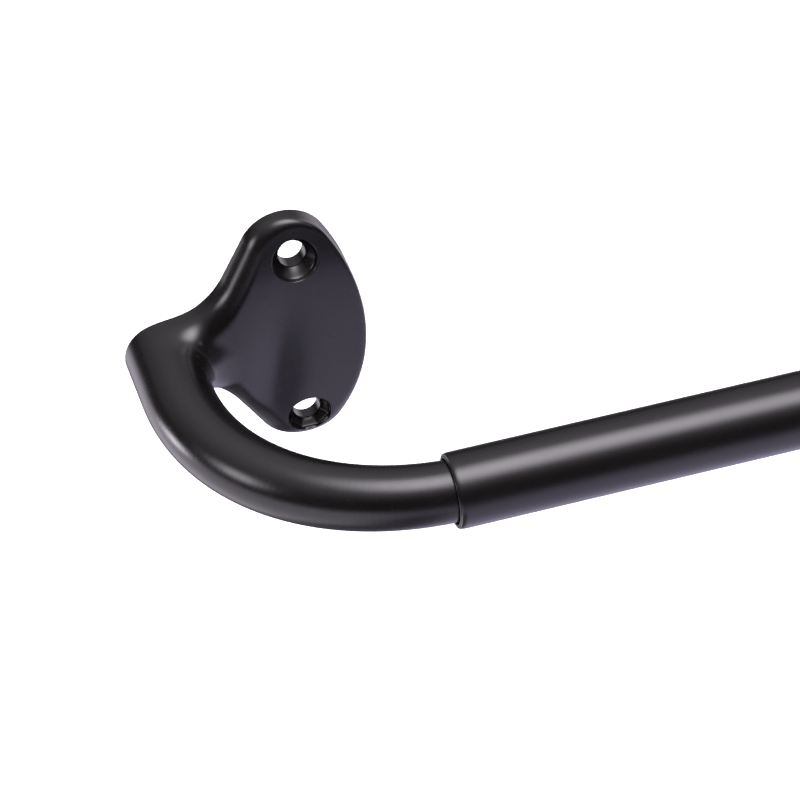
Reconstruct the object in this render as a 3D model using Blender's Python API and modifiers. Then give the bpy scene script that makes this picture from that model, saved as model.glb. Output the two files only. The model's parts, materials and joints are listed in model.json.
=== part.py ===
"""Telescoping wrap-around curtain rod: two sliding tubes between two cast elbow brackets.

Metres, +Z up. X runs along the rod, from the left bracket to the right one. The wall is the plane Y = 0
and the room is at negative Y. The origin is on the back face of the left bracket's wall plate, midway
between its two screw holes. The rod is shown collapsed.
"""

import math

import bmesh
import bpy
import numpy as np
from mathutils import Matrix, Vector

# Driving dimensions
OVERALL_WIDTH = 0.711  # collapsed, over the outsides of both elbows
RETURN = 0.065  # wall to rod axis
GAP = 0.0003  # running gap between neighbouring pieces
ROUND_STEPS = 48  # sides of every turned piece

# Arm of the bracket: straight off the wall, then a quarter bend that ends in the spigot
ARM_STRAIGHT = 0.015
BEND_REACH = 0.0492  # along the rod
BEND_FULLNESS = 0.588  # length of the bend's handles, as a share of its reach
ARM_ROOT_RADIUS = 0.008
ARM_END_RADIUS = 0.00645
ARM_OVERRUN = 0.006  # how far the tapered arm runs on past the end of its bend
MOUTH = 0.0453  # arm axis to the end of the tube, along the rod
SPIGOT_RADIUS = 0.0063
SPIGOT_DEPTH = 0.040  # how far the spigot reaches into its tube
SPIGOT_CHAMFER = 0.0008

# Wall plate of the bracket: a wide cap with two round lobes, one round each screw hole
PLATE_OFFSET = 0.0300  # arm axis to the line of the screw holes
HOLE_SPREAD = 0.021  # each hole's height above or below the arm axis
PLATE_THICKNESS = 0.0073  # at the middle of the crowned front
CROWN_RADIUS = 0.170  # of the front face, about an axis along X
LOBE_X = 0.0288
LOBE_Z = 0.0194
LOBE_RADIUS = 0.0100
CAP_ARC_X = -0.0040  # centre of the big arc round the plate's far side
CAP_WAIST_X = 0.0174  # where the middle lines of the plate's two near sides meet
EDGE_RADIUS = 0.0045  # round of the plate's front edge, along the ridge beside the arm
FAR_EDGE_RADIUS = 0.0008  # the same round the plate's far side
EDGE_CHANGE = (0.020, 0.044)  # distances from the arm between which the one becomes the other
EDGE_LEAN = 0.2  # how much nearer that change lies at the top, for each unit of height
PLATE_LIFT = 0.0010  # the plate's outline lies this much above the arm's axis
NECK_X = 0.0080  # centre of the round neck that joins the cap to the arm
NECK_RADIUS = 0.0055
NECK_FILLET = 0.012  # reach of the plate's in-plane fillets, where its cap meets its neck
FILLET = 0.0060  # reach of the soft fillet between the arm and the plate
CROOK_FILLET = 0.0090  # the same in the crook, where the arm bends over the plate
CROOK_START = (0.004, 0.012)  # distances from the arm's axis between which it comes in
CROOK_HEIGHT = (0.003, 0.009)  # distances from its middle line between which it fades out
CROOK_DROP = 0.003  # that line lies this much below the arm's axis
DISH_DEPTH = 0.0008  # the plate's front sinks a little beside the arm's root
DISH_X = 0.0225
DISH_Z = -0.008
DISH_REACH_X = 0.005
DISH_REACH_Z = 0.015
DISH_LEAN = 0.18  # the hollow leans this much away from the arm for each unit of height
HOLE_RADIUS = 0.0030
SINK_RADIUS = 0.0052  # mouth of the 90 degree countersink
UPPER_HOLE_STRETCH = 1.05  # the upper hole is a little taller than wide, for levelling

# Tubes and the nylon pieces inside them
OUTER_RADIUS = 0.0080
OUTER_WALL = 0.0006
INNER_RADIUS = 0.00715
INNER_WALL = 0.00045
STUB = 0.010  # inner tube left showing when the rod is collapsed
LIP_LENGTH = 0.0016  # the outer tube's left end is rolled in to a lip of this length
LIP_DROP = 0.0005  # and of this depth
EDGE_ROUND = 0.0003  # rounding of the other tube ends
ROUND_POINTS = 4  # points along each rounding
EDGE_BREAK = 0.0002  # bevel on the nylon pieces' edges
SLEEVE_SETBACK = 0.012  # left sleeve's distance inside the tube's end
SLEEVE_LENGTH = 0.025
GLIDE_COLLAR = 0.003  # length of the glide's collar
GLIDE_PLUG = 0.014  # how far the glide's plug reaches into the inner tube
GLIDE_WALL = 0.0014
GLIDE_CLEAR = 0.003  # left spigot's tip to the glide when the rod is collapsed

# Meshing of the casting
CAST_VOXEL = 0.0009
CAST_SHARE_KEPT = 0.19  # share of the casting's faces that the Decimate modifier keeps
PATH_STEPS = 60
SETTLE_ROUNDS = 6
SLOPE_STEP = 0.00001
LEAST_SLOPE = 0.1  # keeps a vertex where two surfaces meet from jumping away
BEHIND_WALL = 0.003  # stock left behind the wall face before it is faced off

# Positions along X that follow from them
LEFT_ARM_X = -PLATE_OFFSET
RIGHT_ARM_X = LEFT_ARM_X + OVERALL_WIDTH - 2 * ARM_ROOT_RADIUS
LEFT_MOUTH_X = LEFT_ARM_X + MOUTH
RIGHT_MOUTH_X = RIGHT_ARM_X - MOUTH
OUTER_END_X = RIGHT_MOUTH_X - STUB
GLIDE_X = LEFT_MOUTH_X + SPIGOT_DEPTH + GLIDE_CLEAR
INNER_START_X = GLIDE_X + GLIDE_COLLAR + GAP

WALL_TO_ROD = Matrix.Translation((-MOUTH, RETURN, 0))  # arm-and-wall frame to the bracket's own frame


def clear_scene():
    for obj in list(bpy.data.objects):
        bpy.data.objects.remove(obj, do_unlink=True)


def new_collection(name):
    collection = bpy.data.collections.new(name)
    bpy.context.scene.collection.children.link(collection)
    return collection


def paint(name, colour, roughness, metallic=0.0):
    material = bpy.data.materials.new(name)
    material.use_nodes = True
    shader = material.node_tree.nodes["Principled BSDF"]
    shader.inputs["Base Color"].default_value = (*colour, 1.0)
    shader.inputs["Roughness"].default_value = roughness
    shader.inputs["Metallic"].default_value = metallic
    return material


def add_object(name, data, collection):
    obj = bpy.data.objects.new(name, data)
    collection.objects.link(obj)
    return obj


def evaluated_mesh(obj, weld=1e-6):
    """The object's mesh with its modifiers and its matrix applied, and its loose caps welded."""
    bpy.context.view_layer.update()
    graph = bpy.context.evaluated_depsgraph_get()
    mesh = bpy.data.meshes.new_from_object(obj.evaluated_get(graph))
    mesh.transform(obj.matrix_world)
    shape = bmesh.new()
    shape.from_mesh(mesh)
    bmesh.ops.remove_doubles(shape, verts=shape.verts, dist=weld)
    bmesh.ops.recalc_face_normals(shape, faces=shape.faces)
    shape.to_mesh(mesh)
    shape.free()
    return mesh


def bake(obj, name, collection):
    """Replaces an object by its evaluated mesh."""
    baked = add_object(name, evaluated_mesh(obj), collection)
    bpy.data.objects.remove(obj, do_unlink=True)
    return baked


def hide(cutter):
    cutter.hide_render = True
    cutter.display_type = "WIRE"
    return cutter


def boolean(obj, other, operation):
    modifier = obj.modifiers.new(f"{operation.lower()}_{other.name}", "BOOLEAN")
    modifier.operation = operation
    modifier.solver = "EXACT"
    modifier.object = other


def turned(name, profile, collection):
    """A solid of revolution about the X axis. The profile is (distance along X, radius), and it runs
    from its +X end to its -X end down the outside, and back up the bore where there is one."""
    mesh = bpy.data.meshes.new(name)
    hollow = profile[-1][1] > 0
    edges = [(i, i + 1) for i in range(len(profile) - 1)]
    if hollow:
        edges.append((len(profile) - 1, 0))
    mesh.from_pydata([(radius, 0, along) for along, radius in profile], edges, [])
    obj = add_object(name, mesh, collection)
    screw = obj.modifiers.new("turn", "SCREW")
    screw.axis = "Z"
    screw.angle = 2 * math.pi
    screw.steps = ROUND_STEPS
    screw.render_steps = ROUND_STEPS
    screw.use_merge_vertices = True
    screw.merge_threshold = 1e-5
    screw.use_smooth_shade = True
    baked = evaluated_mesh(obj)
    baked.transform(Matrix.Rotation(math.pi / 2, 4, "Y"))
    baked.set_sharp_from_angle(angle=math.radians(35))
    bpy.data.objects.remove(obj, do_unlink=True)
    return add_object(name, baked, collection)


def arm_path():
    """Centre line of the arm as points in the arm-and-wall frame, and the radius at each.

    It starts behind the wall face and ends past the bend. The radius shrinks evenly along it.
    """
    share = np.linspace(0, 1, PATH_STEPS)[:, None]
    corner = np.array([0.0, -RETURN])
    start = np.array([0.0, -ARM_STRAIGHT])
    end = np.array([BEND_REACH, -RETURN])
    handle_a = start + (corner - start) * BEND_FULLNESS
    handle_b = end + (corner - end) * BEND_FULLNESS
    bend = (
        (1 - share) ** 3 * start
        + 3 * (1 - share) ** 2 * share * handle_a
        + 3 * (1 - share) * share**2 * handle_b
        + share**3 * end
    )
    straight = np.linspace((0.0, BEHIND_WALL), start, PATH_STEPS // 3, endpoint=False)
    overrun = np.linspace(end, end + (ARM_OVERRUN, 0.0), 5)[1:]
    flat = np.vstack([straight, bend, overrun])
    points = np.column_stack([flat, np.zeros(len(flat))])
    length = np.concatenate([[0.0], np.cumsum(np.linalg.norm(np.diff(points, axis=0), axis=1))])
    first = BEHIND_WALL
    last = length[-1] - ARM_OVERRUN
    radii = np.interp(length, (first, last), (ARM_ROOT_RADIUS, ARM_END_RADIUS))
    return points, radii


def soft_union(first, second, reach):
    """Distance to two shapes run together, with a fillet that reaches this far from where they meet."""
    overlap = np.maximum(reach - np.abs(first - second), 0) / reach
    return np.minimum(first, second) - overlap**2 * reach / 4


def plate_front(z):
    """Thickness of the crowned plate at a height above or below the arm axis."""
    return PLATE_THICKNESS - z**2 / (2 * CROWN_RADIUS)


def dish(x, z):
    """Depth of the shallow hollow beside the arm's root."""
    across = (x - DISH_X - DISH_LEAN * (z - DISH_Z)) / DISH_REACH_X
    along = (z - DISH_Z) / DISH_REACH_Z
    return DISH_DEPTH * np.exp(-(across**2) - along**2)


def outline_distance(x, z):
    """Distance outside the plate's outline, negative inside it."""
    z = np.abs(z - PLATE_LIFT)
    core_radius = math.hypot(LOBE_X - CAP_ARC_X, LOBE_Z)
    facing_arc = np.arctan2(z, x - CAP_ARC_X) < math.atan2(LOBE_Z, LOBE_X - CAP_ARC_X)
    to_arc = np.hypot(x - CAP_ARC_X, z) - core_radius
    side = np.array([LOBE_X - CAP_WAIST_X, LOBE_Z])
    from_waist = x - CAP_WAIST_X
    along = np.clip((from_waist * side[0] + z * side[1]) / (side @ side), 0, 1)
    to_side = np.hypot(from_waist - along * side[0], z - along * side[1])
    inside = facing_arc & (to_arc < 0) & (z * side[0] < from_waist * side[1])
    to_core = np.where(inside, -np.minimum(to_side, -to_arc), to_side)
    to_core = np.where(facing_arc & (to_arc >= 0), to_arc, to_core)
    to_neck = np.hypot(x - NECK_X, z) - NECK_RADIUS
    return soft_union(to_core - LOBE_RADIUS, to_neck, NECK_FILLET)


def rise(value, low, high):
    """0 below low, 1 above high, and smooth between them."""
    share = np.clip((value - low) / (high - low), 0, 1)
    return share * share * (3 - 2 * share)


def plate_distance(points):
    x, y, z = points.T
    far = rise(x + EDGE_LEAN * z, *EDGE_CHANGE)
    radius = EDGE_RADIUS + (FAR_EDGE_RADIUS - EDGE_RADIUS) * far
    over_edge = outline_distance(x, z) + radius
    over_front = -y - plate_front(z) + dish(x, z) + radius
    outside = np.hypot(np.maximum(over_edge, 0), np.maximum(over_front, 0))
    return np.minimum(np.maximum(over_edge, over_front), 0) + outside - radius


def arm_distance(points):
    path, radii = arm_path()
    start = path[:-1]
    step = path[1:] - start
    share = ((points[:, None] - start) * step).sum(2) / (step**2).sum(1)
    share = np.clip(share, 0, 1)
    nearest = start + share[..., None] * step
    radius = radii[:-1] + share * np.diff(radii)
    return (np.linalg.norm(points[:, None] - nearest, axis=2) - radius).min(1)


def cast_distance(points):
    """Distance outside the casting, whose plate and arm run together in a soft fillet."""
    x, _, z = points.T
    in_crook = rise(x, *CROOK_START) * (1 - rise(np.abs(z + CROOK_DROP), *CROOK_HEIGHT))
    fillet = FILLET + (CROOK_FILLET - FILLET) * in_crook
    return soft_union(plate_distance(points), arm_distance(points), fillet)


def settle(mesh):
    """Moves a mesh's vertices onto the casting's surface, apart from its two cut-off ends."""
    points = np.array([vertex.co for vertex in mesh.vertices])
    arm_end = BEND_REACH + ARM_OVERRUN - 2 * CAST_VOXEL
    free = (points[:, 1] < BEHIND_WALL / 2) & (points[:, 0] < arm_end)
    for _ in range(SETTLE_ROUNDS):
        moving = points[free]
        slopes = []
        for step in np.eye(3) * SLOPE_STEP:
            rise = cast_distance(moving + step) - cast_distance(moving - step)
            slopes.append(rise / (2 * SLOPE_STEP))
        slope = np.column_stack(slopes)
        share = cast_distance(moving) / np.maximum((slope**2).sum(1), LEAST_SLOPE)
        points[free] = moving - slope * share[:, None]
    mesh.vertices.foreach_set("co", points.ravel())
    mesh.update()


def plate_blank(collection):
    """Flat outline of the wall plate, extruded. Its front is level with the middle of the crown."""
    curve = bpy.data.curves.new("plate_outline", "CURVE")
    curve.dimensions = "2D"
    curve.fill_mode = "BOTH"
    curve.extrude = (PLATE_THICKNESS + BEHIND_WALL) / 2
    lobe_angle = math.atan2(LOBE_Z, LOBE_X - CAP_ARC_X)
    side_angle = math.atan2(LOBE_Z, LOBE_X - CAP_WAIST_X) + math.pi / 2
    arc_radius = math.hypot(LOBE_X - CAP_ARC_X, LOBE_Z) + LOBE_RADIUS
    upper = [
        (CAP_ARC_X + arc_radius * math.cos(angle), arc_radius * math.sin(angle))
        for angle in np.linspace(0, lobe_angle, 8, endpoint=False)
    ]
    upper += [
        (LOBE_X + LOBE_RADIUS * math.cos(angle), LOBE_Z + LOBE_RADIUS * math.sin(angle))
        for angle in np.linspace(lobe_angle, side_angle, 12)
    ]
    lobe_side = Vector(upper[-1])
    outwards = Vector((math.cos(side_angle), math.sin(side_angle)))
    waist_side = Vector((CAP_WAIST_X, 0)) + LOBE_RADIUS * outwards
    upper += [lobe_side.lerp(waist_side, 0.7), (0, 0.9 * ARM_ROOT_RADIUS)]
    outline = upper + [(x, -z) for x, z in reversed(upper[1:])]
    spline = curve.splines.new("POLY")
    spline.points.add(len(outline) - 1)
    for point, (x, z) in zip(spline.points, outline):
        point.co = (x, z, 0, 1)
    spline.use_cyclic_u = True
    blank = add_object("plate_blank", curve, collection)
    blank.rotation_euler = (math.pi / 2, 0, 0)
    blank.location = (0, (BEHIND_WALL - PLATE_THICKNESS) / 2, PLATE_LIFT)
    return bake(blank, "plate_blank_mesh", collection)


def arm_blank(collection):
    """Tapered tube along the arm's centre line, as a solid."""
    path, radii = arm_path()
    curve = bpy.data.curves.new("arm_line", "CURVE")
    curve.dimensions = "3D"
    curve.bevel_depth = 1.0
    curve.bevel_resolution = 6
    curve.use_fill_caps = True
    spline = curve.splines.new("POLY")
    spline.points.add(len(path) - 1)
    for point, place, radius in zip(spline.points, path, radii):
        point.co = (*place, 1)
        point.radius = radius
    return bake(add_object("arm_blank", curve, collection), "arm_blank_mesh", collection)


def box_cutter(name, low, high, collection):
    mesh = bpy.data.meshes.new(name)
    shape = bmesh.new()
    bmesh.ops.create_cube(shape, size=1.0)
    shape.to_mesh(mesh)
    shape.free()
    size = Vector(high) - Vector(low)
    mesh.transform(Matrix.Translation((Vector(high) + Vector(low)) / 2) @ Matrix.Diagonal((*size, 1)))
    return hide(add_object(name, mesh, collection))


def hole_cutters(casting, side, collection):
    """Cuts a through hole square to the wall and a countersink square to the crowned front.

    Side is 1 above the arm and -1 below it.
    """
    place = Vector((PLATE_OFFSET, -plate_front(HOLE_SPREAD), side * HOLE_SPREAD))
    stretch = Matrix.Diagonal((1, 1, UPPER_HOLE_STRETCH if side > 0 else 1, 1))
    sink_depth = SINK_RADIUS - HOLE_RADIUS
    flare = PLATE_THICKNESS / 2
    clear = 2 * PLATE_THICKNESS
    bore_profile = [(clear, 0.0), (clear, HOLE_RADIUS), (-clear, HOLE_RADIUS), (-clear, 0.0)]
    sink_profile = [
        (flare, 0.0),
        (flare, SINK_RADIUS + flare),
        (-sink_depth - HOLE_RADIUS / 2, HOLE_RADIUS / 2),
        (-sink_depth - HOLE_RADIUS / 2, 0.0),
    ]
    for word, profile, lean in (
        ("bore", bore_profile, 0.0),
        ("sink", sink_profile, side * math.asin(HOLE_SPREAD / CROWN_RADIUS)),
    ):
        cutter = turned(f"{word}_{'upper' if side > 0 else 'lower'}", profile, collection)
        outwards = Vector((0, -math.cos(lean), math.sin(lean)))
        across = Vector((1, 0, 0))
        turn = Matrix((outwards, across, outwards.cross(across))).transposed().to_4x4()
        cutter.data.transform(Matrix.Translation(place) @ stretch @ turn)
        boolean(casting, hide(cutter), "DIFFERENCE")


def make_casting(cutters):
    """Mesh of one bracket in its own frame: origin on the rod axis at the tube's end, +X into the tube."""
    arm = arm_blank(cutters)
    plate = plate_blank(cutters)
    boolean(plate, arm, "UNION")
    rough = bake(plate, "casting", cutters)
    bpy.data.objects.remove(arm, do_unlink=True)
    remesh = rough.modifiers.new("even_out", "REMESH")
    remesh.mode = "VOXEL"
    remesh.voxel_size = CAST_VOXEL
    casting = bake(rough, "casting_settled", cutters)
    settle(casting.data)
    decimate = casting.modifiers.new("thin_out", "DECIMATE")
    decimate.ratio = CAST_SHARE_KEPT
    casting = bake(casting, "casting_thinned", cutters)

    span = OVERALL_WIDTH
    wall_cut = box_cutter("wall_face_cutter", (-span, 0, -span), (span, span, span), cutters)
    end = BEND_REACH + ARM_OVERRUN / 2
    end_cut = box_cutter("arm_end_cutter", (end, -span, -span), (end + span, -RETURN / 2, span), cutters)
    tip = MOUTH + SPIGOT_DEPTH
    spigot_profile = [
        (tip, 0.0),
        (tip, SPIGOT_RADIUS - SPIGOT_CHAMFER),
        (tip - SPIGOT_CHAMFER, SPIGOT_RADIUS),
        (BEND_REACH, SPIGOT_RADIUS),
        (BEND_REACH, 0.0),
    ]
    spigot = hide(turned("spigot_stock", spigot_profile, cutters))
    spigot.location = (0, -RETURN, 0)
    boolean(casting, wall_cut, "DIFFERENCE")
    boolean(casting, end_cut, "DIFFERENCE")
    boolean(casting, spigot, "UNION")
    for side in (1, -1):
        hole_cutters(casting, side, cutters)
    mesh = evaluated_mesh(casting)
    bpy.data.objects.remove(casting, do_unlink=True)
    mesh.transform(WALL_TO_ROD)
    mesh.shade_smooth()
    mesh.set_sharp_from_angle(angle=math.radians(35))
    return mesh


def quarter_round(length, drop):
    """A quarter of an ellipse as (distance from a tube's end, distance in from its outer surface)."""
    turns = np.linspace(0, math.pi / 2, ROUND_POINTS)
    return [(length * (1 - math.cos(turn)), drop * (1 - math.sin(turn))) for turn in turns]


def tube_profile(length, radius, wall, lip=False):
    """Section of a tube from its start at 0. Its start can be rolled in to a lip, wall and all."""
    far_end = [(length - back, radius - down) for back, down in quarter_round(EDGE_ROUND, EDGE_ROUND)]
    if not lip:
        start = [(back, radius - down) for back, down in reversed(quarter_round(EDGE_ROUND, EDGE_ROUND))]
        return [(length, radius - wall), *far_end, *start, (0, radius - wall)]
    rolled = quarter_round(LIP_LENGTH, LIP_DROP)
    outside = [(back, radius - down) for back, down in reversed(rolled)]
    inside = [(back, radius - down - wall) for back, down in rolled]
    return [(length, radius - wall), *far_end, *outside, *inside]


def sleeve_profile():
    """Section of the sleeve that takes up the space between the left spigot and the outer tube."""
    bore = SPIGOT_RADIUS + GAP
    radius = OUTER_RADIUS - OUTER_WALL - GAP
    return [
        (SLEEVE_LENGTH, bore),
        (SLEEVE_LENGTH, radius - EDGE_BREAK),
        (SLEEVE_LENGTH - EDGE_BREAK, radius),
        (EDGE_BREAK, radius),
        (0, radius - EDGE_BREAK),
        (0, bore),
    ]


def glide_profile():
    """Section of the glide: a collar that runs in the outer tube, and a plug held in the inner one."""
    plug_radius = INNER_RADIUS - INNER_WALL - GAP
    bore = plug_radius - GLIDE_WALL
    end = GLIDE_COLLAR + GLIDE_PLUG
    return [
        (end, bore),
        (end, plug_radius - EDGE_BREAK),
        (end - EDGE_BREAK, plug_radius),
        (GLIDE_COLLAR, plug_radius),
        (GLIDE_COLLAR, INNER_RADIUS),
        (EDGE_BREAK, INNER_RADIUS),
        (0, INNER_RADIUS - EDGE_BREAK),
        (0, bore),
    ]


def place_on_rod(obj, x, material):
    obj.location = (x, -RETURN, 0)
    obj.data.materials.clear()
    obj.data.materials.append(material)
    return obj


def main():
    clear_scene()
    parts = new_collection("curtain_rod_with_brackets")
    cutters = new_collection("cutters")
    black_paint = paint("satin_black_powder_coat", (0.012, 0.011, 0.013), 0.36)
    black_tube = paint("satin_black_tube_coat", (0.013, 0.012, 0.014), 0.38)
    black_nylon = paint("black_nylon", (0.02, 0.02, 0.02), 0.55)
    pale_nylon = paint("natural_nylon", (0.72, 0.70, 0.64), 0.5)

    casting = make_casting(cutters)
    place_on_rod(add_object("left_bracket", casting, parts), LEFT_MOUTH_X, black_paint)
    right_bracket = add_object("right_bracket", casting, parts)
    place_on_rod(right_bracket, RIGHT_MOUTH_X, black_paint)
    right_bracket.rotation_euler = (0, math.pi, 0)

    outer_profile = tube_profile(OUTER_END_X - LEFT_MOUTH_X, OUTER_RADIUS, OUTER_WALL, lip=True)
    place_on_rod(turned("outer_tube", outer_profile, parts), LEFT_MOUTH_X, black_tube)
    inner_profile = tube_profile(RIGHT_MOUTH_X - INNER_START_X, INNER_RADIUS, INNER_WALL)
    place_on_rod(turned("inner_tube", inner_profile, parts), INNER_START_X, black_tube)

    sleeve = turned("left_spigot_sleeve", sleeve_profile(), parts)
    place_on_rod(sleeve, LEFT_MOUTH_X + SLEEVE_SETBACK, black_nylon)
    glide = turned("inner_tube_glide", glide_profile(), parts)
    place_on_rod(glide, GLIDE_X, pale_nylon)


main()
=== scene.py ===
"""Looks of the telescoping curtain rod with its two cast elbow brackets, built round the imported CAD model.

Metres, +Z up. X runs along the rod, the wall is the plane Y = 0 and the room is at negative Y.
"""

import json
import math

import bmesh
import bpy
import numpy as np
from mathutils import Matrix, Vector


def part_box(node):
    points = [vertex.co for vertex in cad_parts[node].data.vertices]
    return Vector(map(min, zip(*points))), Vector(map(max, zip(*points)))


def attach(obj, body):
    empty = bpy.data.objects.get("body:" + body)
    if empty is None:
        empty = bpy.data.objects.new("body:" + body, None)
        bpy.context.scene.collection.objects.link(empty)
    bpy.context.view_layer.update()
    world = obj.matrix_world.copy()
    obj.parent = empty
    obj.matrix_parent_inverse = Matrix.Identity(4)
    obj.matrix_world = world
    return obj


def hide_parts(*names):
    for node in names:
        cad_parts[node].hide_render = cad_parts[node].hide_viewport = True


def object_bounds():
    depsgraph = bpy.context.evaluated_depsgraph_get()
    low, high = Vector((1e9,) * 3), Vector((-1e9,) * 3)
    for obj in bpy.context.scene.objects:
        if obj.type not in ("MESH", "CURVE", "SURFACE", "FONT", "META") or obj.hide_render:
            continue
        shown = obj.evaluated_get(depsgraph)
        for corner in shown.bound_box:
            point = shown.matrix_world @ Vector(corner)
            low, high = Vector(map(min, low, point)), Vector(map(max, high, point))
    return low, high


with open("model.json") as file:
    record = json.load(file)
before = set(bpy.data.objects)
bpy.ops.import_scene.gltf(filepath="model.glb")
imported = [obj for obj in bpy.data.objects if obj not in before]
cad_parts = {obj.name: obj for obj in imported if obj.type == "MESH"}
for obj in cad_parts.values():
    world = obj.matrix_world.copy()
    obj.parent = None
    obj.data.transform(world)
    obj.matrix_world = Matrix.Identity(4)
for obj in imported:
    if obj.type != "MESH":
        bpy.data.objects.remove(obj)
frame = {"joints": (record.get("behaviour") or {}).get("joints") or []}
cad_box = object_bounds()

MM = 0.001

# The casting: the same driving dimensions as the CAD bracket, in its arm-and-wall frame
RETURN = 65 * MM  # wall to rod axis
ARM_STRAIGHT = 15 * MM
BEND_REACH = 49.2 * MM  # along the rod
BEND_FULLNESS = 0.588  # length of the bend's handles, as a share of its reach
ARM_ROOT_RADIUS = 8 * MM
ARM_END_RADIUS = 6.45 * MM
ARM_OVERRUN = 6 * MM  # how far the tapered arm runs on past the end of its bend
MOUTH = 45.3 * MM  # arm axis to the end of the tube, along the rod
SPIGOT_RADIUS = 6.3 * MM
SPIGOT_DEPTH = 40 * MM
SPIGOT_CHAMFER = 0.8 * MM
PLATE_OFFSET = 30 * MM  # arm axis to the line of the screw holes
HOLE_SPREAD = 21 * MM  # each hole's height above or below the arm axis
PLATE_THICKNESS = 7.3 * MM  # at the middle of the crowned front
CROWN_RADIUS = 170 * MM  # of the front face, about an axis along X
LOBE_X = 28.8 * MM
LOBE_Z = 19.4 * MM
LOBE_RADIUS = 10 * MM
CAP_ARC_X = -4.0 * MM  # centre of the big arc round the plate's far side
CAP_WAIST_X = 17.4 * MM  # where the middle lines of the plate's two near sides meet
EDGE_RADIUS = 4.5 * MM  # along the ridge beside the arm
FAR_EDGE_RADIUS = 0.8 * MM  # round the plate's far side
EDGE_CHANGE = (20 * MM, 44 * MM)  # from the one to the other
EDGE_LEAN = 0.2  # how much nearer that change lies at the top, for each unit of height
PLATE_LIFT = 1.0 * MM  # the plate's outline lies this much above the arm's axis
NECK_X = 8 * MM
NECK_RADIUS = 5.5 * MM
NECK_FILLET = 12 * MM
FILLET = 6 * MM  # reach of the soft fillet between the arm and the plate
CROOK_FILLET = 9 * MM  # the same in the crook, where the arm bends over the plate
CROOK_START = (4 * MM, 12 * MM)  # distances from the arm's axis between which it comes in
CROOK_HEIGHT = (3 * MM, 9 * MM)  # distances from its middle line between which it fades out
CROOK_DROP = 3 * MM  # that line lies this much below the arm's axis
DISH_DEPTH = 0.8 * MM  # the plate's front sinks a little beside the arm's root
DISH_X = 22.5 * MM
DISH_Z = -8 * MM
DISH_REACH_X = 5 * MM
DISH_REACH_Z = 15 * MM
DISH_LEAN = 0.18  # the hollow leans this much away from the arm for each unit of height
HOLE_RADIUS = 3.0 * MM
SINK_RADIUS = 5.2 * MM  # mouth of the 90 degree countersink
UPPER_HOLE_STRETCH = 1.05

# Meshing of the casting
CAST_VOXEL = 0.45 * MM
SETTLE_ROUNDS = 4
SLOPE_STEP = 0.01 * MM
LEAST_SLOPE = 0.1  # keeps a vertex where two surfaces meet from jumping away
CHUNK = 8000  # vertices settled at a time, to keep memory small
PATH_STEPS = 60
BEHIND_WALL = 3 * MM  # stock left behind the wall face before it is faced off
NECK_BLANK = 0.9 * ARM_ROOT_RADIUS  # half height of the plate's blank at the arm's axis
SIDE_BLANK = 0.7  # how far towards its waist each side of the blank runs

# Fine detail of the screw holes, which the CAD model leaves out
RIM_ROUND = 0.35 * MM  # rounded mouth of each countersink
RIM_WALL = 0.3 * MM  # straight wall below it
RIM_FILLET = 1.0 * MM  # from that wall into the cone
BORE_ROUND = 0.5 * MM  # from the cone into the bore
SINK_FLATS = 8  # flats that the tool left in the lower countersink
FLATS_SHARE = 1.0  # how flat they are, from 0 for a round cone
FLATS_TURN = 0.39  # where the first flat starts, in radians
FLATS_TOP = (-0.8 * MM, -0.4 * MM)  # depths between which the flats fade out towards the mouth
FLATS_FOOT = (-3.0 * MM, -2.2 * MM)  # and towards the bore
SINK_LEAN = (-4.5 * MM, -2.0 * MM)  # depths between which the cut turns from the wall to the crown
HOLE_STEPS = 144

# Tubes and the nylon pieces in them
TURN_STEPS = 144
SPIGOT_STEPS = 96
OUTER_WALL = 0.6 * MM
INNER_WALL = 0.45 * MM
LIP_LENGTH = 1.6 * MM  # the outer tube's left end is rolled in to a lip of this length
LIP_DROP = 0.5 * MM
LIP_EDGE = 0.2 * MM  # rounding of the lip's own edge
NYLON_WALL = 0.5 * MM
GLIDE_WALL = 1.4 * MM
GLIDE_COLLAR = 3 * MM
NYLON_EDGE = 0.2 * MM  # rounding of the nylon pieces' edges
RIBS = 6  # ribs on the nylon pieces, which grip the tube
RIB_DEPTH = 0.12 * MM
BORE_EDGE = 0.8  # rounding inside a tube's end, as a share of the one outside

# Colours and finish
COAT_DARK = (0.0030, 0.0028, 0.0027)
COAT_LIGHT = (0.0048, 0.0044, 0.0043)
COAT_RUBBED = (0.030, 0.028, 0.028)
COAT_ROUGHNESS = (0.24, 0.28)
RUBBED_EDGES = (0.56, 0.70)  # pointiness between which an edge gets rubbed
RUBBED_MOST = 0.35  # share of the rubbed colour on the sharpest edges
PEEL_HEIGHT = 0.02 * MM
GRAIN_HEIGHT = 0.006 * MM
TUBE_GRAIN = (0.25, 1, 1)  # the tubes' texture is drawn out along them
BLACK_NYLON = ((0.015, 0.015, 0.015), (0.024, 0.023, 0.022), 0.5)  # dark, light and roughness
PALE_NYLON = ((0.66, 0.63, 0.56), (0.75, 0.73, 0.67), 0.45)
NYLON_UNEVEN = 0.06  # how much the roughness varies each way
NYLON_GRAIN_HEIGHT = 0.01 * MM

# Camera
VIEW_AZIMUTH = math.radians(-13.446)
VIEW_ELEVATION = math.radians(39.016)
VIEW_ROLL = math.radians(4.285)
VIEW_DISTANCE = 0.6571
VIEW_TARGET = Vector((0.01476, -0.030, -0.00268))
SENSOR_MM = 36
LENS_MM = 139.95
CLIP_END = 50

# Floor
FLOOR_DROP = 0.30
FLOOR_RADIUS = 2.5
FLOOR_GREY = (0.9, 0.9, 0.9, 1)
FLOOR_ROUGHNESS = 0.9
FLOOR_GLOW = 0.4

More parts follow.
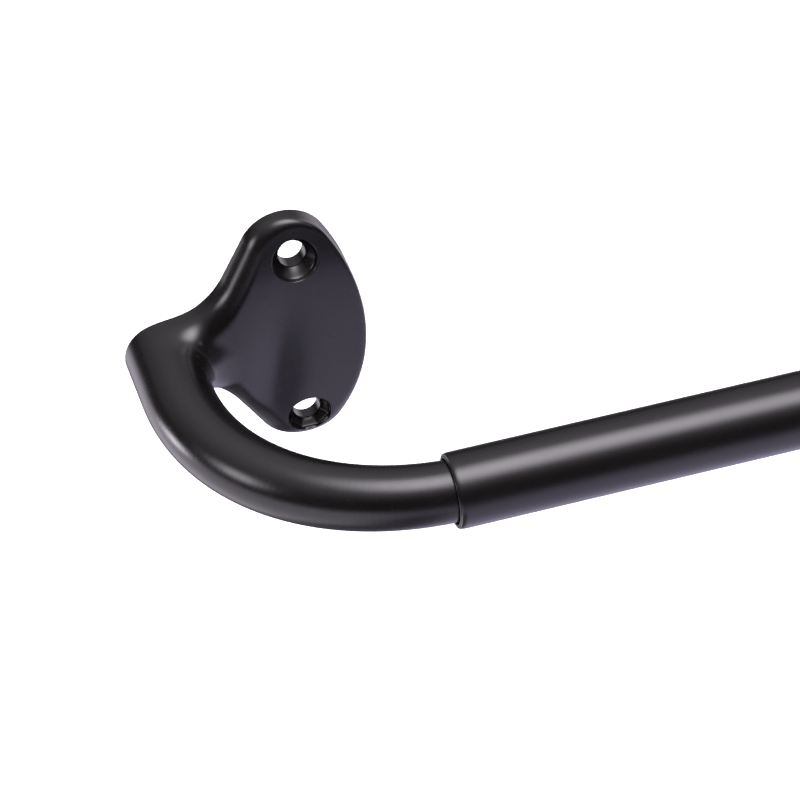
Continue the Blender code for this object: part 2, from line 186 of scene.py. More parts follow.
# Light. Pairs of numbers are places on the unit sphere between which a light comes in: x runs to the
# right, y to the rear and z up
NEUTRAL = (1.05, 0.99, 1.08)
DIM = (1.12, 0.99, 1.0)
TABLE_TINT = (1.07, 0.99, 1.14)
FRONT_TABLE_TINT = (1.07, 0.98, 1.38)
BACKDROP = (1.0, 1.0, 1.0)
ROOM_LIGHT = 0.06
REAR_LIGHT = 0.3
REAR_Z = (0.2, 0.35)
REAR_Y = (-0.4, 0.8)
CEILING_LIGHT = 0.65
CEILING_Z = (0.4, 0.95)
RIGHT_FLANK_LIGHT = 2.0
RIGHT_FLANK_X = (0.45, 0.75)
RIGHT_FLANK_Y = (-0.1, 0.4)
TABLE_LEFT_LIGHT = 1.6
TABLE_LEFT_X = (-0.1, -0.5)
TABLE_LEFT_Z = (-0.06, -0.3)
TABLE_RIGHT_LIGHT = 1.12
TABLE_RIGHT_Z = (0.0, -0.6)
TABLE_REAR_Y = (0.85, 0.1)  # the table fades out towards the rear
TABLE_BACK_SHARE = 0.3  # but keeps this share
TABLE_GAP = 0.85  # how dark the table is in front of the part and right under it
GAP_X = (0.17, 0.0)
GAP_Z = (-0.35, -0.7)
UNDER_Z = (-0.88, -0.98)
SOFTBOXES = (  # azimuth, elevation, radius, softness (all in degrees) and strength
    (40, 79, 19, 14, 8.5),
    (-85, 17, 9, 7, 8.5),
    (-119, -14, 6, 3, 12),
    (52, 32, 4, 3, 4),
)

# Places, from the frame
JOINTS = {joint["name"]: joint for joint in frame["joints"]}
LEFT_MOUTH = Vector(JOINTS["outer_rod_swivel"]["pos_m"])
RIGHT_MOUTH = Vector(JOINTS["right_bracket_swivel"]["pos_m"])
ROD_Y = LEFT_MOUTH.y


# Mesh helpers

def add_object(name, data):
    obj = bpy.data.objects.new(name, data)
    bpy.context.scene.collection.objects.link(obj)
    return obj


def evaluated_mesh(obj, weld=1e-7):
    """The object's mesh with its modifiers and its matrix applied, and its loose caps welded."""
    bpy.context.view_layer.update()
    graph = bpy.context.evaluated_depsgraph_get()
    mesh = bpy.data.meshes.new_from_object(obj.evaluated_get(graph))
    mesh.transform(obj.matrix_world)
    shape = bmesh.new()
    shape.from_mesh(mesh)
    bmesh.ops.remove_doubles(shape, verts=shape.verts, dist=weld)
    bmesh.ops.recalc_face_normals(shape, faces=shape.faces)
    shape.to_mesh(mesh)
    shape.free()
    return mesh


def bake(obj, name):
    """Replaces an object by its evaluated mesh."""
    mesh = evaluated_mesh(obj)
    bpy.data.objects.remove(obj, do_unlink=True)
    return add_object(name, mesh)


def apply_boolean(obj, other, operation):
    """Cuts or joins with the other object, which is used up."""
    modifier = obj.modifiers.new(operation, "BOOLEAN")
    modifier.operation = operation
    modifier.solver = "EXACT"
    modifier.object = other
    mesh = evaluated_mesh(obj)
    obj.modifiers.clear()
    obj.data = mesh
    obj.matrix_world = Matrix.Identity(4)
    bpy.data.objects.remove(other, do_unlink=True)


def turned(name, profile, steps=TURN_STEPS):
    """A solid of revolution about the X axis. The profile is (distance along X, radius), and it runs
    from its +X end to its -X end down the outside, and back up the bore where there is one."""
    mesh = bpy.data.meshes.new(name)
    edges = [(i, i + 1) for i in range(len(profile) - 1)]
    if profile[-1][1] > 0:
        edges.append((len(profile) - 1, 0))
    mesh.from_pydata([(radius, 0, along) for along, radius in profile], edges, [])
    obj = add_object(name, mesh)
    screw = obj.modifiers.new("turn", "SCREW")
    screw.axis = "Z"
    screw.angle = 2 * math.pi
    screw.steps = steps
    screw.render_steps = steps
    screw.use_merge_vertices = True
    screw.merge_threshold = 1e-6
    screw.use_smooth_shade = True
    made = evaluated_mesh(obj)
    made.transform(Matrix.Rotation(math.pi / 2, 4, "Y"))
    bpy.data.objects.remove(obj, do_unlink=True)
    return add_object(name, made)


def smooth(obj, sharp_degrees=35):
    obj.data.shade_smooth()
    obj.data.set_sharp_from_angle(angle=math.radians(sharp_degrees))


# The casting's form, as a distance field in its arm-and-wall frame: the arm's axis leaves the wall at
# the origin and runs towards -Y, and the plate lies towards +X

def arm_path():
    """Centre line of the arm, and the radius at each of its points."""
    share = np.linspace(0, 1, PATH_STEPS)[:, None]
    corner = np.array([0.0, -RETURN])
    start = np.array([0.0, -ARM_STRAIGHT])
    end = np.array([BEND_REACH, -RETURN])
    handle_a = start + (corner - start) * BEND_FULLNESS
    handle_b = end + (corner - end) * BEND_FULLNESS
    bend = (
        (1 - share) ** 3 * start
        + 3 * (1 - share) ** 2 * share * handle_a
        + 3 * (1 - share) * share**2 * handle_b
        + share**3 * end
    )
    straight = np.linspace((0.0, BEHIND_WALL), start, PATH_STEPS // 6, endpoint=False)
    overrun = np.linspace(end, end + (ARM_OVERRUN, 0.0), 3)[1:]
    flat = np.vstack([straight, bend, overrun])
    points = np.column_stack([flat, np.zeros(len(flat))])
    length = np.concatenate([[0.0], np.cumsum(np.linalg.norm(np.diff(points, axis=0), axis=1))])
    span = (BEHIND_WALL, length[-1] - ARM_OVERRUN)
    return points, np.interp(length, span, (ARM_ROOT_RADIUS, ARM_END_RADIUS))


ARM_POINTS, ARM_RADII = arm_path()


def soft_union(first, second, reach):
    """Distance to two shapes run together, with a fillet that reaches this far from where they meet."""
    overlap = np.maximum(reach - np.abs(first - second), 0) / reach
    return np.minimum(first, second) - overlap**2 * reach / 4


def plate_front(z):
    """Thickness of the crowned plate at a height above or below the arm axis."""
    return PLATE_THICKNESS - z**2 / (2 * CROWN_RADIUS)


def dish(x, z):
    """Depth of the shallow hollow beside the arm's root."""
    across = (x - DISH_X - DISH_LEAN * (z - DISH_Z)) / DISH_REACH_X
    along = (z - DISH_Z) / DISH_REACH_Z
    return DISH_DEPTH * np.exp(-(across**2) - along**2)


def outline_distance(x, z):
    """Distance outside the plate's outline, negative inside it."""
    z = np.abs(z - PLATE_LIFT)
    core_radius = math.hypot(LOBE_X - CAP_ARC_X, LOBE_Z)
    facing_arc = np.arctan2(z, x - CAP_ARC_X) < math.atan2(LOBE_Z, LOBE_X - CAP_ARC_X)
    to_arc = np.hypot(x - CAP_ARC_X, z) - core_radius
    side = np.array([LOBE_X - CAP_WAIST_X, LOBE_Z])
    from_waist = x - CAP_WAIST_X
    along = np.clip((from_waist * side[0] + z * side[1]) / (side @ side), 0, 1)
    to_side = np.hypot(from_waist - along * side[0], z - along * side[1])
    inside = facing_arc & (to_arc < 0) & (z * side[0] < from_waist * side[1])
    to_core = np.where(inside, -np.minimum(to_side, -to_arc), to_side)
    to_core = np.where(facing_arc & (to_arc >= 0), to_arc, to_core)
    to_neck = np.hypot(x - NECK_X, z) - NECK_RADIUS
    return soft_union(to_core - LOBE_RADIUS, to_neck, NECK_FILLET)


def rise(value, low, high):
    """0 below low, 1 above high, and smooth between them."""
    share = np.clip((value - low) / (high - low), 0, 1)
    return share * share * (3 - 2 * share)


def plate_distance(points):
    x, y, z = points.T
    far = rise(x + EDGE_LEAN * z, *EDGE_CHANGE)
    radius = EDGE_RADIUS + (FAR_EDGE_RADIUS - EDGE_RADIUS) * far
    over_edge = outline_distance(x, z) + radius
    over_front = -y - plate_front(z) + dish(x, z) + radius
    outside = np.hypot(np.maximum(over_edge, 0), np.maximum(over_front, 0))
    return np.minimum(np.maximum(over_edge, over_front), 0) + outside - radius


def arm_distance(points):
    start = ARM_POINTS[:-1]
    step = ARM_POINTS[1:] - start
    share = ((points[:, None] - start) * step).sum(2) / (step**2).sum(1)
    share = np.clip(share, 0, 1)
    nearest = start + share[..., None] * step
    radius = ARM_RADII[:-1] + share * np.diff(ARM_RADII)
    return (np.linalg.norm(points[:, None] - nearest, axis=2) - radius).min(1)


def cast_distance(points):
    """Distance outside the casting, whose plate and arm run together in a soft fillet."""
    x, _, z = points.T
    in_crook = rise(x, *CROOK_START) * (1 - rise(np.abs(z + CROOK_DROP), *CROOK_HEIGHT))
    fillet = FILLET + (CROOK_FILLET - FILLET) * in_crook
    return soft_union(plate_distance(points), arm_distance(points), fillet)


def settled(points):
    """The points moved onto the casting's surface, each along the steepest way."""
    for _ in range(SETTLE_ROUNDS):
        slopes = []
        for step in np.eye(3) * SLOPE_STEP:
            change = cast_distance(points + step) - cast_distance(points - step)
            slopes.append(change / (2 * SLOPE_STEP))
        slope = np.column_stack(slopes)
        share = cast_distance(points) / np.maximum((slope**2).sum(1), LEAST_SLOPE)
        points = points - slope * share[:, None]
    return points


def settle(mesh):
    """Moves a mesh's vertices onto the casting's surface, apart from its two cut-off ends."""
    points = np.array([vertex.co for vertex in mesh.vertices])
    arm_end = BEND_REACH + ARM_OVERRUN - 2 * CAST_VOXEL
    free = np.flatnonzero((points[:, 1] < BEHIND_WALL / 2) & (points[:, 0] < arm_end))
    for first in range(0, len(free), CHUNK):
        chosen = free[first : first + CHUNK]
        points[chosen] = settled(points[chosen])
    mesh.vertices.foreach_set("co", points.ravel())
    mesh.update()


def plate_blank():
    """Flat outline of the wall plate, extruded. Its front is level with the middle of the crown."""
    curve = bpy.data.curves.new("plate_outline", "CURVE")
    curve.dimensions = "2D"
    curve.fill_mode = "BOTH"
    curve.extrude = (PLATE_THICKNESS + BEHIND_WALL) / 2
    lobe_angle = math.atan2(LOBE_Z, LOBE_X - CAP_ARC_X)
    side_angle = math.atan2(LOBE_Z, LOBE_X - CAP_WAIST_X) + math.pi / 2
    arc_radius = math.hypot(LOBE_X - CAP_ARC_X, LOBE_Z) + LOBE_RADIUS
    upper = [
        (CAP_ARC_X + arc_radius * math.cos(angle), arc_radius * math.sin(angle))
        for angle in np.linspace(0, lobe_angle, 8, endpoint=False)
    ]
    upper += [
        (LOBE_X + LOBE_RADIUS * math.cos(angle), LOBE_Z + LOBE_RADIUS * math.sin(angle))
        for angle in np.linspace(lobe_angle, side_angle, 12)
    ]
    lobe_side = Vector(upper[-1])
    outwards = Vector((math.cos(side_angle), math.sin(side_angle)))
    waist_side = Vector((CAP_WAIST_X, 0)) + LOBE_RADIUS * outwards
    upper += [lobe_side.lerp(waist_side, SIDE_BLANK), (0, NECK_BLANK)]
    outline = upper + [(x, -z) for x, z in reversed(upper[1:])]
    spline = curve.splines.new("POLY")
    spline.points.add(len(outline) - 1)
    for point, (x, z) in zip(spline.points, outline):
        point.co = (x, z, 0, 1)
    spline.use_cyclic_u = True
    blank = add_object("plate_blank", curve)
    blank.rotation_euler = (math.pi / 2, 0, 0)
    blank.location = (0, (BEHIND_WALL - PLATE_THICKNESS) / 2, PLATE_LIFT)
    return bake(blank, "plate_blank_mesh")


def arm_blank():
    """Tapered tube along the arm's centre line, as a solid."""
    curve = bpy.data.curves.new("arm_line", "CURVE")
    curve.dimensions = "3D"
    curve.bevel_depth = 1.0
    curve.bevel_resolution = 8
    curve.use_fill_caps = True
    spline = curve.splines.new("POLY")
    spline.points.add(len(ARM_POINTS) - 1)
    for point, place, radius in zip(spline.points, ARM_POINTS, ARM_RADII):
        point.co = (*place, 1)
        point.radius = radius
    return bake(add_object("arm_blank", curve), "arm_blank_mesh")


def box_cutter(low, high):
    mesh = bpy.data.meshes.new("box_cutter")
    shape = bmesh.new()
    bmesh.ops.create_cube(shape, size=1.0)
    shape.to_mesh(mesh)
    shape.free()
    size = Vector(high) - Vector(low)
    mesh.transform(Matrix.Translation((Vector(high) + Vector(low)) / 2) @ Matrix.Diagonal((*size, 1)))
    return add_object("box_cutter", mesh)


def hole_profile():
    """Section of a screw hole as (distance out of the plate's front, radius), from outside inwards: a
    rounded mouth, a short straight wall, a fillet, a 90 degree cone, and a rounded edge into the bore."""
    flare = PLATE_THICKNESS / 2
    clear = 2 * PLATE_THICKNESS
    mouth = [
        (RIM_ROUND * (math.cos(turn) - 1), SINK_RADIUS - RIM_ROUND * math.sin(turn))
        for turn in np.linspace(0, math.pi / 2, 7)
    ]
    fillet_start = (-RIM_ROUND - RIM_WALL, SINK_RADIUS - RIM_ROUND - RIM_FILLET)
    fillet = [
        (fillet_start[0] - RIM_FILLET * math.sin(turn), fillet_start[1] + RIM_FILLET * math.cos(turn))
        for turn in np.linspace(0, math.pi / 4, 7)
    ]
    edge_radius = HOLE_RADIUS + BORE_ROUND
    edge_start = edge_radius - BORE_ROUND * math.cos(math.pi / 4)
    cone_depth = fillet[-1][0] - (fillet[-1][1] - edge_start)
    edge = [
        (
            cone_depth - BORE_ROUND * (math.sin(math.pi / 4) - math.sin(turn)),
            edge_radius - BORE_ROUND * math.cos(turn),
        )
        for turn in np.linspace(math.pi / 4, 0, 7)
    ]
    cone = [
        tuple(np.array(fillet[-1]) + share * (np.array(edge[0]) - np.array(fillet[-1])))
        for share in np.linspace(0, 1, 6)[1:-1]
    ]
    return [
        (flare, 0.0),
        (flare, SINK_RADIUS + flare),
        *mouth,
        *fillet,
        *cone,
        *edge,
        (-clear, HOLE_RADIUS),
        (-clear, 0.0),
    ]


def ease(value, low, high):
    """0 below low, 1 above high, and smooth between them."""
    share = min(max((value - low) / (high - low), 0.0), 1.0)
    return share * share * (3 - 2 * share)


def cut_screw_hole(casting, side):
    """Cuts a hole whose bore is square to the wall and whose countersink is square to the crown.

    Side is 1 above the arm and -1 below it. The lower countersink keeps the flats of its tool.
    """
    cutter = turned("hole_cutter", hole_profile(), HOLE_STEPS)
    place = Vector((PLATE_OFFSET, -plate_front(HOLE_SPREAD), side * HOLE_SPREAD))
    lean = side * math.asin(HOLE_SPREAD / CROWN_RADIUS)
    stretch = UPPER_HOLE_STRETCH if side > 0 else 1.0
    half_flat = math.pi / SINK_FLATS
    for vertex in cutter.data.vertices:
        out, right, up = vertex.co
        if side < 0:
            in_cone = ease(out, *FLATS_FOOT) * (1 - ease(out, *FLATS_TOP))
            off_middle = (math.atan2(up, right) + FLATS_TURN) % (2 * half_flat) - half_flat
            polygon = math.cos(half_flat) / math.cos(off_middle)
            scale = 1 + FLATS_SHARE * in_cone * (polygon - 1)
            right, up = right * scale, up * scale
        tilt = lean * ease(out, *SINK_LEAN)
        across_plate = Vector((0, math.sin(tilt), math.cos(tilt)))
        vertex.co = place + Vector((right, -out, 0)) + across_plate * up * stretch
    apply_boolean(casting, cutter, "DIFFERENCE")


def make_casting():
    """One bracket in its own frame: origin on the rod axis at the tube's end, +X into the tube."""
    plate = plate_blank()
    apply_boolean(plate, arm_blank(), "UNION")
    remesh = plate.modifiers.new("even_out", "REMESH")
    remesh.mode = "VOXEL"
    remesh.voxel_size = CAST_VOXEL
    casting = bake(plate, "casting")
    settle(casting.data)

    span = 1.0
    apply_boolean(casting, box_cutter((-span, 0, -span), (span, span, span)), "DIFFERENCE")
    end = BEND_REACH + ARM_OVERRUN / 2
    end_cut = box_cutter((end, -span, -span), (end + span, -RETURN / 2, span))
    apply_boolean(casting, end_cut, "DIFFERENCE")
    tip = MOUTH + SPIGOT_DEPTH
    spigot = turned(
        "spigot",
        [
            (tip, 0.0),
            (tip, SPIGOT_RADIUS - SPIGOT_CHAMFER),
            (tip - SPIGOT_CHAMFER, SPIGOT_RADIUS),
            (BEND_REACH, SPIGOT_RADIUS),
            (BEND_REACH, 0.0),
        ],
        SPIGOT_STEPS,
    )
    spigot.location = (0, -RETURN, 0)
    apply_boolean(casting, spigot, "UNION")
    for side in (1, -1):
        cut_screw_hole(casting, side)
    casting.data.transform(Matrix.Translation((-MOUTH, RETURN, 0)))
    smooth(casting)
    return casting


# Tubes and the nylon pieces in them

def arc_round(length, drop, steps=8):
    """A quarter of an ellipse as (distance from a tube's end, distance in from its surface)."""
    turns = np.linspace(0, math.pi / 2, steps)
    return [(length * (1 - math.cos(turn)), drop * (1 - math.sin(turn))) for turn in turns]


def tube_profile(start, end, radius, wall, lip=False):
    """Section of a tube from start to end. Its start can be rolled in to a lip, wall and all."""
    edge = wall / 2
    far_end = [(end - back, radius - down) for back, down in arc_round(edge, edge)]
    bore_round = arc_round(edge, edge * BORE_EDGE)
    far_bore = [(end - back, radius - wall + down) for back, down in reversed(bore_round)]
    if not lip:
        outside = [(start + back, radius - down) for back, down in reversed(arc_round(edge, edge))]
        bore = [(start + back, radius - wall + down) for back, down in bore_round]
        return [*far_bore, *far_end, *outside, *bore]
    outside = [
        (start + back, radius - down)
        for back, down in reversed(arc_round(LIP_LENGTH, LIP_DROP, 14))
        if back > LIP_EDGE
    ]
    nose_middle = radius - LIP_DROP - wall / 2
    nose = [
        (start + LIP_EDGE * (1 - math.cos(turn)), nose_middle + wall / 2 * math.sin(turn))
        for turn in np.linspace(math.pi / 2, -math.pi / 2, 9)
    ]
    inside = [
        (start + back, radius - down - wall)
        for back, down in arc_round(LIP_LENGTH, LIP_DROP, 14)
        if back > LIP_EDGE
    ]
    return [*far_bore, *far_end, *outside, *nose, *inside]


def make_outer_tube():
    low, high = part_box("outer_tube")
    tube = turned("outer_tube_drawn", tube_profile(low.x, high.x, high.z, OUTER_WALL, lip=True))
    tube.location = (0, ROD_Y, 0)
    smooth(tube)
    return tube


def make_inner_tube():
    low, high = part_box("inner_tube")
    tube = turned("inner_tube_drawn", tube_profile(low.x, high.x, high.z, INNER_WALL))
    tube.location = (0, ROD_Y, 0)
    smooth(tube)
    return tube


def ribbed(obj, start, end, outer_radius):
    """Presses shallow grooves between the ribs of a turned nylon piece."""
    for vertex in obj.data.vertices:
        along, out, up = vertex.co
        radius = math.hypot(out, up)
        if not start < along < end or radius < outer_radius - RIB_DEPTH:
            continue
        wave = 0.5 - 0.5 * math.cos(RIBS * math.atan2(up, out))
        ends = ease(along, start, start + MM) * (1 - ease(along, end - MM, end))
        groove = ease(wave, 0.25, 0.6) * ends
        shrink = 1 - RIB_DEPTH * groove / radius
        vertex.co = (along, out * shrink, up * shrink)


def make_sleeve():
    """Nylon sleeve that takes up the space between the left spigot and the outer tube."""
    low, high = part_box("left_spigot_sleeve")
    edge = NYLON_EDGE
    far_end = [(high.x - back, high.z - down) for back, down in arc_round(edge, edge)]
    near_end = [(low.x + back, high.z - down) for back, down in reversed(arc_round(edge, edge))]
    rings = [(x, high.z) for x in np.linspace(high.x - edge, low.x + edge, 40)[1:-1]]
    bore = high.z - NYLON_WALL
    profile = [(high.x, bore), *far_end, *rings, *near_end, (low.x, bore)]
    sleeve = turned("sleeve_moulded", profile)
    ribbed(sleeve, low.x + edge, high.x - edge, high.z)
    sleeve.location = (0, ROD_Y, 0)
    smooth(sleeve)
    return sleeve


def make_glide():
    """Nylon glide: a collar that runs in the outer tube and a plug that is held in the inner one."""
    low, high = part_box("inner_tube_glide")
    edge = NYLON_EDGE
    inner_low, inner_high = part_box("inner_tube")
    collar_end = low.x + GLIDE_COLLAR
    plug = inner_high.z - INNER_WALL - (inner_low.x - collar_end)
    bore = plug - GLIDE_WALL
    tip = [(high.x - back, plug - down) for back, down in arc_round(2 * edge, 2 * edge)]
    rings = [(x, plug) for x in np.linspace(high.x - 2 * edge, collar_end, 30)[1:]]
    collar_back = [(collar_end - back, high.z - down) for back, down in arc_round(edge, edge)]
    collar_front = [(low.x + back, high.z - down) for back, down in reversed(arc_round(edge, edge))]
    profile = [(high.x, bore), *tip, *rings, *collar_back, *collar_front, (low.x, bore)]
    glide = turned("glide_moulded", profile)
    ribbed(glide, collar_end, high.x - 2 * edge, plug)
    glide.location = (0, ROD_Y, 0)
    smooth(glide)
    return glide


# Materials

class Nodes:
    """A short way to build one node material."""

    def __init__(self, name):
        self.material = bpy.data.materials.new(name)
        self.material.use_nodes = True
        self.tree = self.material.node_tree
        self.shader = self.tree.nodes["Principled BSDF"]

    def add(self, kind, **settings):
        """A node, with attributes set by name and inputs set by their names in lower case."""
        node = self.tree.nodes.new(kind)
        for key, value in settings.items():
            if hasattr(node, key):
                setattr(node, key, value)
            else:
                names = {socket.name.lower().replace(" ", "_"): socket for socket in node.inputs}
                names[key].default_value = value
        return node

    def link(self, output, target):
        self.tree.links.new(output, target)

    def millimetres(self, scale=(1, 1, 1)):
        """Object coordinates in millimetres, stretched by a scale."""
        place = self.add("ShaderNodeTexCoord")
        stretch = self.add("ShaderNodeMapping")
        stretch.inputs["Scale"].default_value = [1000 * share for share in scale]
        self.link(place.outputs["Object"], stretch.inputs["Vector"])
        return stretch.outputs["Vector"]

    def noise(self, vector, scale, detail=3.0, roughness=0.5):
        node = self.add("ShaderNodeTexNoise", scale=scale, detail=detail, roughness=roughness)
        self.link(vector, node.inputs["Vector"])
        return node.outputs["Fac"]

    def spread(self, value, low, high, out_low=0.0, out_high=1.0):
        node = self.add("ShaderNodeMapRange", clamp=True)
        ends = {"From Min": low, "From Max": high, "To Min": out_low, "To Max": out_high}
        for name, number in ends.items():
            node.inputs[name].default_value = number
        self.link(value, node.inputs["Value"])
        return node.outputs["Result"]

    def mix(self, factor, first, second):
        """Mixes two colours, each given as RGB or as an output."""
        node = self.add("ShaderNodeMix", data_type="RGBA")
        self.link(factor, node.inputs["Factor"])
        for socket, colour in ((node.inputs[6], first), (node.inputs[7], second)):
            if isinstance(colour, tuple):
                socket.default_value = (*colour, 1.0)
            else:
                self.link(colour, socket)
        return node.outputs[2]

    def bump(self, height, distance, strength, under=None):
        node = self.add("ShaderNodeBump", distance=distance, strength=strength)
        self.link(height, node.inputs["Height"])
        if under is not None:
            self.link(under, node.inputs["Normal"])
        return node.outputs["Normal"]


def coated_metal(name, grain_stretch=(1, 1, 1)):
    """Satin black powder coat: a fine orange peel, faint clouding, and edges rubbed a little lighter."""
    nodes = Nodes(name)
    place = nodes.millimetres(grain_stretch)
    clouds = nodes.noise(place, 0.045, detail=2.0)
    peel = nodes.noise(place, 1.1, detail=2.0)
    grain = nodes.noise(place, 5.0, detail=3.0, roughness=0.6)
    colour = nodes.mix(nodes.spread(clouds, 0.35, 0.65), COAT_DARK, COAT_LIGHT)
    curvature = nodes.add("ShaderNodeNewGeometry").outputs["Pointiness"]
    rubbed = nodes.spread(curvature, *RUBBED_EDGES, 0.0, RUBBED_MOST)
    nodes.link(nodes.mix(rubbed, colour, COAT_RUBBED), nodes.shader.inputs["Base Color"])
    roughness = nodes.spread(nodes.noise(place, 0.35, detail=3.0), 0.3, 0.7, *COAT_ROUGHNESS)
    nodes.link(roughness, nodes.shader.inputs["Roughness"])
    normal = nodes.bump(peel, PEEL_HEIGHT, 0.12)
    normal = nodes.bump(grain, GRAIN_HEIGHT, 0.15, normal)
    nodes.link(normal, nodes.shader.inputs["Normal"])
    return nodes.material


def nylon(name, dark, light, roughness):
    """Moulded nylon: slightly uneven colour, a fine mould grain and a dull sheen."""
    nodes = Nodes(name)
    place = nodes.millimetres()
    clouds = nodes.noise(place, 0.15, detail=3.0)
    nodes.link(nodes.mix(nodes.spread(clouds, 0.3, 0.7), dark, light), nodes.shader.inputs["Base Color"])
    least, most = roughness - NYLON_UNEVEN, roughness + NYLON_UNEVEN
    nodes.link(nodes.spread(nodes.noise(place, 0.6), 0.3, 0.7, least, most), nodes.shader.inputs["Roughness"])
    grain = nodes.bump(nodes.noise(place, 6.0), NYLON_GRAIN_HEIGHT, 0.4)
    nodes.link(grain, nodes.shader.inputs["Normal"])
    return nodes.material


# Stage: camera, floor and light

def direction(azimuth, elevation):
    """Unit vector towards an azimuth, turned from -Y towards +X, and an elevation."""
    return Vector((
        math.sin(azimuth) * math.cos(elevation),
        -math.cos(azimuth) * math.cos(elevation),
        math.sin(elevation),
    ))


def add_camera():
    back = direction(VIEW_AZIMUTH, VIEW_ELEVATION)
    right = Vector((math.cos(VIEW_AZIMUTH), math.sin(VIEW_AZIMUTH), 0))
    up = back.cross(right)
    tilted_right = math.cos(VIEW_ROLL) * right - math.sin(VIEW_ROLL) * up
    tilted_up = math.sin(VIEW_ROLL) * right + math.cos(VIEW_ROLL) * up
    camera = add_object("camera", bpy.data.cameras.new("camera"))
    placed = Matrix((tilted_right, tilted_up, back)).transposed().to_4x4()
    placed.translation = VIEW_TARGET + back * VIEW_DISTANCE
    camera.matrix_world = placed
    camera.data.sensor_width = SENSOR_MM
    camera.data.lens = LENS_MM
    camera.data.clip_end = CLIP_END
    bpy.context.scene.camera = camera


def add_floor():
    mesh = bpy.data.meshes.new("floor")
    shape = bmesh.new()
    bmesh.ops.create_circle(shape, cap_ends=True, radius=FLOOR_RADIUS, segments=96)
    shape.to_mesh(mesh)
    shape.free()
    floor = add_object("floor", mesh)
    floor.location = (LEFT_MOUTH.x, ROD_Y, cad_box[0][2] - FLOOR_DROP)
    nodes = Nodes("pale_floor")
    nodes.shader.inputs["Base Color"].default_value = FLOOR_GREY
    nodes.shader.inputs["Roughness"].default_value = FLOOR_ROUGHNESS
    nodes.shader.inputs["Emission Color"].default_value = (1, 1, 1, 1)
    nodes.shader.inputs["Emission Strength"].default_value = FLOOR_GLOW
    floor.visible_glossy = False  # the gloss shows the studio's own table instead
    mesh.materials.append(nodes.material)


class Studio:
    """Builds the world's light: a function of direction, which the lights are painted on."""

    def __init__(self):
        world = bpy.data.worlds.new("studio")
        bpy.context.scene.world = world
        world.use_nodes = True
        self.tree = world.node_tree
        place = self.tree.nodes.new("ShaderNodeTexCoord")
        self.towards = place.outputs["Generated"]
        split = self.tree.nodes.new("ShaderNodeSeparateXYZ")
        self.tree.links.new(self.towards, split.inputs[0])
        self.x, self.y, self.z = split.outputs
        self.total = None

    def maths(self, operation, first, second):
        node = self.tree.nodes.new("ShaderNodeMath")
        node.operation = operation
        for socket, value in zip(node.inputs, (first, second)):
            if isinstance(value, (int, float)):
                socket.default_value = value
            else:
                self.tree.links.new(value, socket)
        return node.outputs[0]

    def product(self, first, *others):
        for other in others:
            first = self.maths("MULTIPLY", first, other)
        return first

    def rest(self, share):
        """What a share leaves of the whole."""
        return self.maths("SUBTRACT", 1.0, share)

    def ramp(self, value, start, end):
        """0 at the start, 1 at the end, and smooth between them."""
        node = self.tree.nodes.new("ShaderNodeMapRange")
        node.interpolation_type = "SMOOTHSTEP"
        node.inputs["From Min"].default_value = start
        node.inputs["From Max"].default_value = end
        self.tree.links.new(value, node.inputs["Value"])
        return node.outputs["Result"]

    def shine(self, share, colour, strength):
        """Adds light of one colour, where the share says so."""
        node = self.tree.nodes.new("ShaderNodeVectorMath")
        node.operation = "SCALE"
        node.inputs[0].default_value = colour
        self.tree.links.new(self.maths("MULTIPLY", share, strength), node.inputs["Scale"])
        if self.total is None:
            self.total = node.outputs[0]
            return
        both = self.tree.nodes.new("ShaderNodeVectorMath")
        both.operation = "ADD"
        self.tree.links.new(self.total, both.inputs[0])
        self.tree.links.new(node.outputs[0], both.inputs[1])
        self.total = both.outputs[0]

    def softbox(self, azimuth, elevation, radius, softness, strength):
        """A round light that fades from its middle to its rim. All its angles are in degrees."""
        dot = self.tree.nodes.new("ShaderNodeVectorMath")
        dot.operation = "DOT_PRODUCT"
        dot.inputs[1].default_value = direction(math.radians(azimuth), math.radians(elevation))
        self.tree.links.new(self.towards, dot.inputs[0])
        angle = self.maths("ARCCOSINE", dot.outputs["Value"], 0)
        rim = math.radians(radius + softness), math.radians(max(radius - softness, 0))
        self.shine(self.ramp(angle, *rim), NEUTRAL, strength)

    def finish(self, backdrop):
        """Lights the scene with the painted world, and shows the camera a plain pale backdrop."""
        background = self.tree.nodes["Background"]
        path = self.tree.nodes.new("ShaderNodeLightPath")
        pick = self.tree.nodes.new("ShaderNodeMix")
        pick.data_type = "VECTOR"
        pick.inputs[5].default_value = backdrop
        self.tree.links.new(path.outputs["Is Camera Ray"], pick.inputs["Factor"])
        self.tree.links.new(self.total, pick.inputs[4])
        self.tree.links.new(pick.outputs[1], background.inputs["Color"])


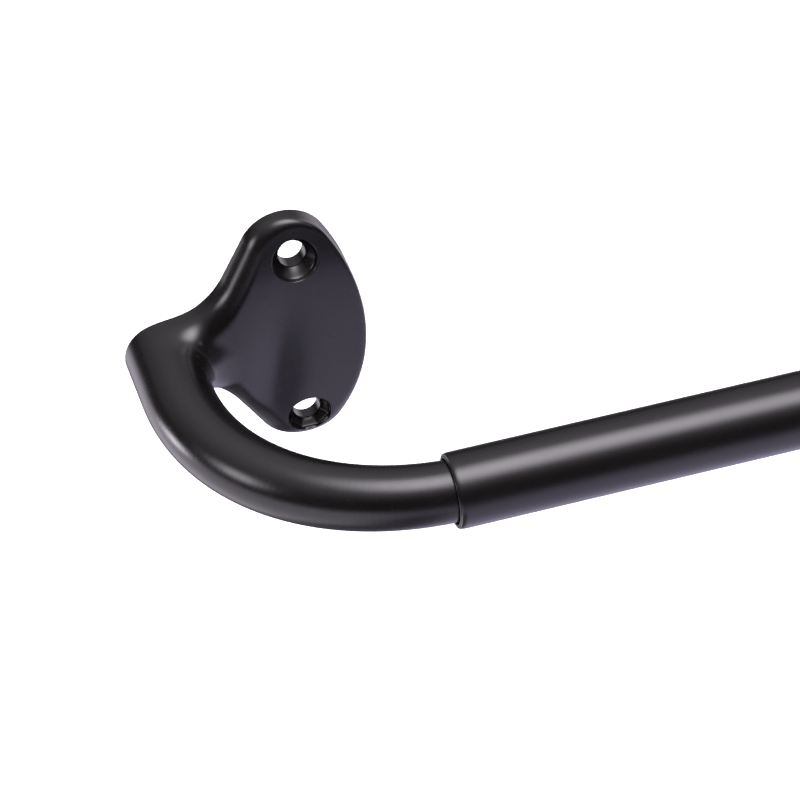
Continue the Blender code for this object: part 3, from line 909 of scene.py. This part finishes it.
def add_light():
    """A dim room with softboxes overhead and at the left, a light flank at the right rear, and a pale
    table below that is darker right under the part."""
    studio = Studio()
    x, y, z = studio.x, studio.y, studio.z
    rear = studio.product(studio.ramp(z, *REAR_Z), studio.ramp(y, *REAR_Y))
    right_flank = studio.product(studio.ramp(x, *RIGHT_FLANK_X), studio.ramp(y, *RIGHT_FLANK_Y))
    studio.shine(1.0, DIM, ROOM_LIGHT)
    studio.shine(rear, NEUTRAL, REAR_LIGHT)
    studio.shine(studio.ramp(z, *CEILING_Z), NEUTRAL, CEILING_LIGHT)
    studio.shine(right_flank, NEUTRAL, RIGHT_FLANK_LIGHT)

    at_left = studio.ramp(x, *TABLE_LEFT_X)
    gap = studio.product(studio.ramp(z, *GAP_Z), studio.ramp(x, *GAP_X))
    table_left = studio.product(
        at_left,
        studio.ramp(z, *TABLE_LEFT_Z),
        studio.rest(studio.product(studio.ramp(z, *UNDER_Z), TABLE_GAP)),
    )
    table_right = studio.product(
        studio.rest(at_left),
        studio.ramp(z, *TABLE_RIGHT_Z),
        studio.maths("MAXIMUM", studio.ramp(y, *TABLE_REAR_Y), TABLE_BACK_SHARE),
        studio.rest(studio.product(gap, TABLE_GAP)),
    )
    studio.shine(table_left, TABLE_TINT, TABLE_LEFT_LIGHT)
    studio.shine(table_right, FRONT_TABLE_TINT, TABLE_RIGHT_LIGHT)
    for softbox in SOFTBOXES:
        studio.softbox(*softbox)
    studio.finish(BACKDROP)


def dress(piece, body, node, material, name):
    piece.name = name
    piece.data.materials.clear()
    piece.data.materials.append(material)
    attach(piece, body)
    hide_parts(node)


def main():
    add_camera()
    add_floor()
    add_light()
    bpy.context.scene.view_settings.view_transform = "Standard"

    bracket_coat = coated_metal("bracket_powder_coat")
    tube_coat = coated_metal("tube_powder_coat", TUBE_GRAIN)
    black_nylon = nylon("black_nylon", *BLACK_NYLON)
    pale_nylon = nylon("natural_nylon", *PALE_NYLON)

    left = make_casting()
    right = add_object("right_casting", left.data.copy())
    left.location = LEFT_MOUTH
    right.location = RIGHT_MOUTH
    right.rotation_euler = (0, math.pi, 0)
    dress(left, "left_end", "left_bracket", bracket_coat, "left_bracket_casting")
    dress(right, "right_end", "right_bracket", bracket_coat, "right_bracket_casting")
    dress(make_outer_tube(), "outer_rod", "outer_tube", tube_coat, "outer_tube_drawn")
    dress(make_inner_tube(), "inner_rod", "inner_tube", tube_coat, "inner_tube_drawn")
    dress(make_sleeve(), "outer_rod", "left_spigot_sleeve", black_nylon, "sleeve_moulded")
    dress(make_glide(), "inner_rod", "inner_tube_glide", pale_nylon, "glide_moulded")


main()
